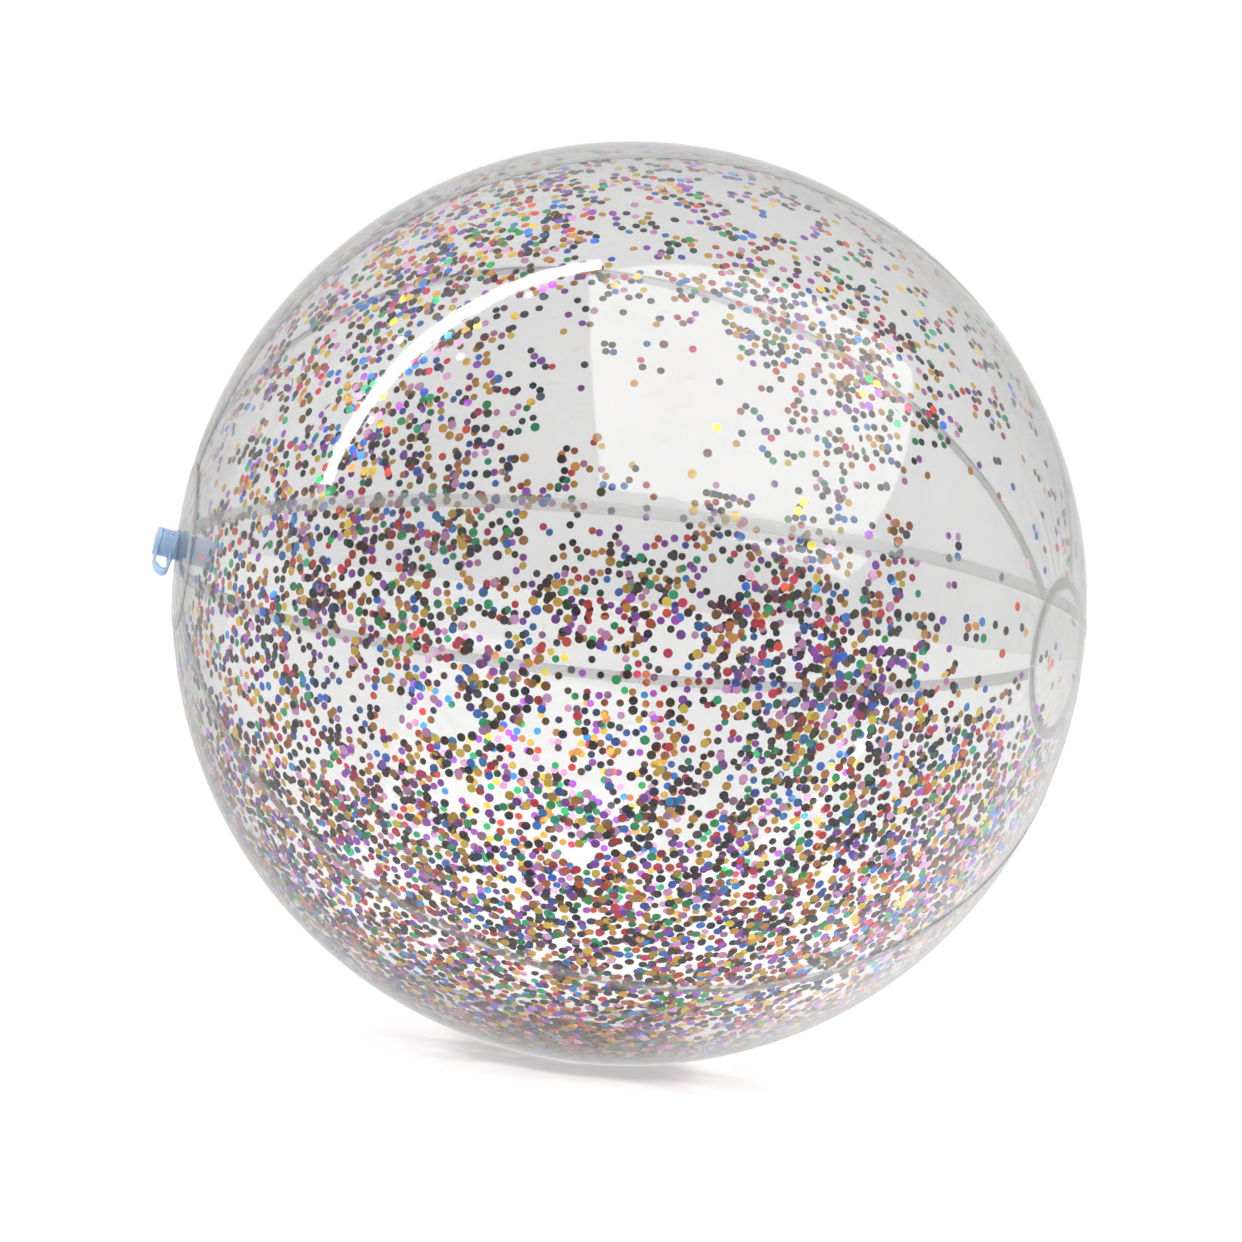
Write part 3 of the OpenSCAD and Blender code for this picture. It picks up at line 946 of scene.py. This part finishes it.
def wall_dots(rng, count):
    """Places and normals of the dots that cling inside the film."""
    s = ball()
    c = dots()
    tries = int(1.7 * count)
    heads_count = int(0.6 * tries)
    ways, total = [], 0
    while total < heads_count:
        w = rng.normal(size=(60000, 3))
        w /= np.linalg.norm(w, axis=1)[:, None]
        keep = (rng.uniform(0, 1.6, len(w)) < crowding(w, *angles(w))) & clear_of_valve(w)
        ways.append(w[keep])
        total += keep.sum()
    heads = np.vstack(ways)[:heads_count]
    reach = 2 * c.dot / s.radius
    w = spaced(rng, rng.permutation(wandering_runs(rng, heads, tries, reach)), count, 0.96 * reach)
    count = len(w)
    phi, theta = angles(w)
    tilt = np.abs(rng.normal(0, math.radians(4.5), count))
    loose = (rng.uniform(0, 1, count) < 0.05) & (np.abs(w[:, 0]) > 0.36)
    tilt = np.where(loose, np.radians(rng.uniform(12, 40, count)), np.clip(tilt, 0, math.radians(11)))
    stand = c.dot * 1.06 * np.sin(tilt) + rng.uniform(0.00008, 0.00026, count)
    relief = np.minimum(wall_relief(phi, theta), 0.0003)
    places = wall_point(phi, theta, relief - s.film - stand)
    pole = w[:, 0] > DISC_MIDDLE
    if pole.any():
        r = dome_shape()[0]
        places[pole] = dome_point(w[pole, 1] * r, w[pole, 2] * r, 1, -0.0004 - stand[pole])
    return places, tilted(w, tilt, rng)


def heap_dots(rng, count):
    """Places and normals of the loose dots piled at the bottom."""
    s = ball()
    low, high = (np.array(q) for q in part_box("confetti_heap"))
    reach = (high[0] - low[0]) / 2
    top = s.radius - 0.0022
    lean = 0.3 * reach
    r = reach * rng.uniform(0, 1, count) ** 0.62
    a = rng.uniform(0, 2 * math.pi, count)
    x, y = r * np.cos(a) + lean * (1 - r / reach), r * np.sin(a)
    depth = rng.uniform(0, 1, count) ** 1.3 * 0.0042 * (1 - (r / reach) ** 1.6)
    rad = top - depth
    z = -np.sqrt(rad ** 2 - x * x - y * y)
    places = CENTRE + np.stack([x, y, z], 1)
    n = -np.stack([x, y, z], 1) / rad[:, None]
    tilt = np.abs(rng.normal(0, math.radians(16), count)) * np.clip(depth / 0.0014 + 0.25, 0.2, 1)
    places += n * (np.sin(tilt) * 0.0009)[:, None]
    return places, tilted(n, tilt, rng)


def build_confetti():
    c = dots()
    rng = np.random.default_rng(c.seed)
    count = c.count
    places, normals = wall_dots(rng, count)
    # fewer than were asked for when the wall is full
    count = len(places)
    kinds = rng.choice(len(FOILS), size=count, p=np.array(FOIL_SHARE) / sum(FOIL_SHARE))
    # random per dot: its tone, and painted shade on nearly a third of the dots
    dot_tones_and_shades = rng.uniform(0, 1, count)
    for i, foil in enumerate(FOILS):
        mine = kinds == i
        obj = scatter_dots("foil_dots_" + foil, places[mine], normals[mine], dot_tones_and_shades[mine],
                           foil_material("foil_" + foil, tuple(getattr(c, foil))), rng)
        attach(obj, "ball")
        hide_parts("confetti_" + foil)


def build_heap():
    c = dots()
    # the heap has its own draw, and more of the warm colours
    rng = np.random.default_rng(c.seed + 1)
    places, normals = heap_dots(rng, c.heap)
    share = np.array(FOIL_SHARE) * np.array([1.3, 1.6, 1.6, 0.8, 0.8, 0.5, 0.5, 1.0])
    kinds = rng.choice(len(FOILS), size=c.heap, p=share / share.sum())
    # random per dot: its tone, and painted shade on nearly a third of the dots
    dot_tones_and_shades = rng.uniform(0, 1, c.heap)
    mix = foil_material("foil_mix", "foil_colour")
    obj = scatter_dots("loose_foil_dots", places, normals, dot_tones_and_shades, mix, rng)
    colours = np.array([[*getattr(c, f), 1.0] for f in FOILS])[kinds]
    per_dot = len(dot_template()[0])
    a = obj.data.attributes.new("foil_colour", "FLOAT_COLOR", "POINT")
    a.data.foreach_set("color", np.repeat(colours, per_dot, 0).astype(np.float32).ravel())
    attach(obj, "loose_confetti")
    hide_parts("confetti_heap")


# ---------------------------------------------------------------- stage
VIEW_TURN = math.radians(-10.7)
VIEW_RISE = math.radians(1.0)
VIEW_ROLL = math.radians(7.4)
VIEW_FAR = 1.472


def view_axes():
    """Right, up and toward-camera directions of the main view, with its roll."""
    flat = math.cos(VIEW_RISE)
    toward = np.array([math.sin(VIEW_TURN) * flat, -math.cos(VIEW_TURN) * flat, math.sin(VIEW_RISE)])
    right = np.cross([0, 0, 1.0], toward)
    right /= np.linalg.norm(right)
    up = np.cross(toward, right)
    c, s = math.cos(VIEW_ROLL), math.sin(VIEW_ROLL)
    return c * right + s * up, -s * right + c * up, toward


def build_camera():
    right, up, toward = view_axes()
    data = bpy.data.cameras.new("view")
    data.lens = 112
    data.sensor_width = 36
    data.clip_start = 0.05
    data.clip_end = 60
    cam = bpy.data.objects.new("view", data)
    bpy.context.scene.collection.objects.link(cam)
    # the ball sits a little right of and above the middle of the frame
    aim = CENTRE - 0.0031 * right - 0.0066 * up
    eye = aim + VIEW_FAR * toward
    m = Matrix([[*map(float, q)] for q in np.stack([right, up, toward], 1)]).to_4x4()
    m.translation = Vector(eye)
    cam.matrix_world = m
    bpy.context.scene.camera = cam


def area_light(name, corner, across, along, radiance, colour=(1, 1, 1)):
    """A rectangular light given by a corner and two edges in the view's axes, in metres from the ball."""
    right, up, toward = view_axes()
    world = lambda q: q[0] * right + q[1] * up + q[2] * toward
    a, b = world(across), world(along)
    mid = CENTRE + world(corner) + (a + b) / 2
    la, lb = np.linalg.norm(a), np.linalg.norm(b)
    x = a / la
    z = np.cross(x, b / lb)
    z /= np.linalg.norm(z)
    if z @ (mid - CENTRE) < 0:
        z = -z
    y = np.cross(z, x)
    data = bpy.data.lights.new(name, "AREA")
    data.shape = "RECTANGLE"
    data.size, data.size_y = la, lb
    data.energy = radiance * math.pi * la * lb
    data.color = colour
    obj = bpy.data.objects.new(name, data)
    bpy.context.scene.collection.objects.link(obj)
    m = Matrix([[*map(float, q)] for q in np.stack([x, y, z], 1)]).to_4x4()
    m.translation = Vector(mid)
    obj.matrix_world = m
    obj.visible_camera = False
    return obj


def build_floor():
    n = 96
    a = np.linspace(0, 2 * math.pi, n, endpoint=False)
    rings = [0.6, 1.6, 4.0, 9.0, 14.0]
    low = float(CAD_BOUNDS[0][2]) - 0.0002
    verts = [[r * math.cos(t), r * math.sin(t), low] for r in rings for t in a] + [[0, 0, low]]
    faces = grid_faces(len(rings), n, 0, True, True) + [[len(verts) - 1, j, (j + 1) % n] for j in range(n)]
    m, t, s = new_material("pale_floor")
    place = add(t, "ShaderNodeTexCoord").outputs["Object"]
    grain = noise(t, place, 3.0, 3.0)
    ramp = add(t, "ShaderNodeMix", data_type="RGBA")
    link(t, grain, ramp.inputs["Factor"])
    ramp.inputs[6].default_value = (0.88, 0.88, 0.875, 1)
    ramp.inputs[7].default_value = (0.92, 0.92, 0.915, 1)
    link(t, ramp.outputs[2], s.inputs["Base Color"])
    s.inputs["Roughness"].default_value = 0.9
    s.inputs["Specular IOR Level"].default_value = 0.1
    s.inputs["Emission Color"].default_value = (1, 1, 1, 1)
    s.inputs["Emission Strength"].default_value = 0.45
    floor = mesh_object("floor", verts, faces, m)
    floor.visible_glossy = False


def build_world():
    """White to the eye; for reflections and fill, bright behind the ball and dim on the near side."""
    right, up, toward = view_axes()
    w = bpy.data.worlds.new("studio")
    bpy.context.scene.world = w
    w.use_nodes = True
    t = w.node_tree
    t.nodes.clear()
    way = add(t, "ShaderNodeTexCoord").outputs["Generated"]

    def along(direction):
        return add(t, "ShaderNodeVectorMath", {0: way, 1: tuple(direction)},
                   operation="DOT_PRODUCT").outputs["Value"]

    glow = ranged(t, along(-toward), -0.35, 0.85, 0.13, 0.95)
    # a low bright patch on the near side, which veils the lower right of the ball
    patch = 0.60 * right - 0.50 * up - 0.62 * toward
    glow = maths(t, "ADD", glow, ranged(t, along(patch), 0.78, 0.97, 0.0, 0.8))
    seen = add(t, "ShaderNodeLightPath").outputs["Is Camera Ray"]
    mix = add(t, "ShaderNodeMix", data_type="FLOAT")
    link(t, seen, mix.inputs[0])
    link(t, glow, mix.inputs[2])
    mix.inputs[3].default_value = 1.03
    back = add(t, "ShaderNodeBackground", {"Color": (1.0, 1.0, 1.0, 1), "Strength": mix.outputs[0]})
    out = t.nodes.new("ShaderNodeOutputWorld")
    link(t, back.outputs[0], out.inputs[0])


def build_lights():
    area_light("softbox", (-0.19, 1.47, 0.21), (1.42, -0.46, -0.36), (0.03, -0.86, 1.15), 2.3,
               (1.0, 0.995, 0.98))
    area_light("strip", (-1.40, 0.50, 0.24), (1.27, 0.98, -0.07), (0.0, 0.0, -0.08), 16.0)
    sun = bpy.data.lights.new("floor_fill", "SUN")
    sun.energy = 1.3
    sun.angle = math.radians(100)
    obj = bpy.data.objects.new("floor_fill", sun)
    bpy.context.scene.collection.objects.link(obj)
    obj.visible_glossy = False
    obj.visible_camera = False


# ---------------------------------------------------------------- operators
class BALL_OT_view(bpy.types.Operator):
    """Set the camera at its viewing angle"""
    bl_idname = "ball.view"
    bl_label = "Camera"

    def execute(self, context):
        build_camera()
        return {"FINISHED"}


class BALL_OT_gores(bpy.types.Operator):
    """Build the six film gores with their welded laps"""
    bl_idname = "ball.gores"
    bl_label = "Film gores"

    def execute(self, context):
        build_gores()
        return {"FINISHED"}


class BALL_OT_discs(bpy.types.Operator):
    """Build the two film end discs"""
    bl_idname = "ball.discs"
    bl_label = "End discs"

    def execute(self, context):
        build_discs()
        return {"FINISHED"}


class BALL_OT_valve(bpy.types.Operator):
    """Build the valve's soft stem and flange"""
    bl_idname = "ball.valve"
    bl_label = "Valve"

    def execute(self, context):
        build_valve_body()
        return {"FINISHED"}


class BALL_OT_plug(bpy.types.Operator):
    """Build the plug and the strap that ties it to the stem"""
    bl_idname = "ball.plug"
    bl_label = "Plug and strap"

    def execute(self, context):
        build_plug()
        build_strap()
        return {"FINISHED"}


class BALL_OT_flap(bpy.types.Operator):
    """Build the one-way flap under the stem"""
    bl_idname = "ball.flap"
    bl_label = "One-way flap"

    def execute(self, context):
        build_flap()
        return {"FINISHED"}


class BALL_OT_confetti(bpy.types.Operator):
    """Scatter the foil dots that cling to the inside of the film"""
    bl_idname = "ball.confetti"
    bl_label = "Clinging confetti"

    def execute(self, context):
        build_confetti()
        return {"FINISHED"}


class BALL_OT_heap(bpy.types.Operator):
    """Pile the loose foil dots at the bottom"""
    bl_idname = "ball.heap"
    bl_label = "Loose confetti"

    def execute(self, context):
        build_heap()
        return {"FINISHED"}


class BALL_OT_stage(bpy.types.Operator):
    """Lay the pale floor and set the studio light"""
    bl_idname = "ball.stage"
    bl_label = "Stage"

    def execute(self, context):
        build_floor()
        build_world()
        build_lights()
        context.scene.view_settings.view_transform = "Standard"
        context.scene.cycles.transparent_max_bounces = 40
        return {"FINISHED"}


class BALL_PT_panel(bpy.types.Panel):
    """Builders of the beach ball, in order"""
    bl_idname = "BALL_PT_panel"
    bl_label = "Confetti Beach Ball"
    bl_space_type = "VIEW_3D"
    bl_region_type = "UI"
    bl_category = "Beach Ball"

    def draw(self, context):
        for cls in OPERATORS:
            self.layout.operator(cls.bl_idname)
        for label, group in (("Film", context.scene.ball_sizes), ("Valve", context.scene.valve_sizes),
                             ("Confetti", context.scene.confetti_sizes)):
            box = self.layout.box()
            box.label(text=label)
            for key in group.__annotations__:
                box.prop(group, key)


OPERATORS = (BALL_OT_view, BALL_OT_gores, BALL_OT_discs, BALL_OT_valve, BALL_OT_plug, BALL_OT_flap,
             BALL_OT_confetti, BALL_OT_heap, BALL_OT_stage)
GROUPS = (("ball_sizes", BallSizes), ("valve_sizes", ValveSizes), ("confetti_sizes", ConfettiSizes))


def register():
    for key, cls in GROUPS:
        bpy.utils.register_class(cls)
        setattr(bpy.types.Scene, key, bpy.props.PointerProperty(type=cls))
    for cls in (*OPERATORS, BALL_PT_panel):
        bpy.utils.register_class(cls)


def unregister():
    for cls in (BALL_PT_panel, *reversed(OPERATORS)):
        bpy.utils.unregister_class(cls)
    for key, cls in reversed(GROUPS):
        delattr(bpy.types.Scene, key)
        bpy.utils.unregister_class(cls)


def main():
    register()
    for cls in OPERATORS:
        kind, name = cls.bl_idname.split(".")
        if getattr(getattr(bpy.ops, kind), name)() != {"FINISHED"}:
            raise RuntimeError(cls.bl_label + " did not finish")
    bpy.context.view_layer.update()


if __name__ == "__main__":
    main()
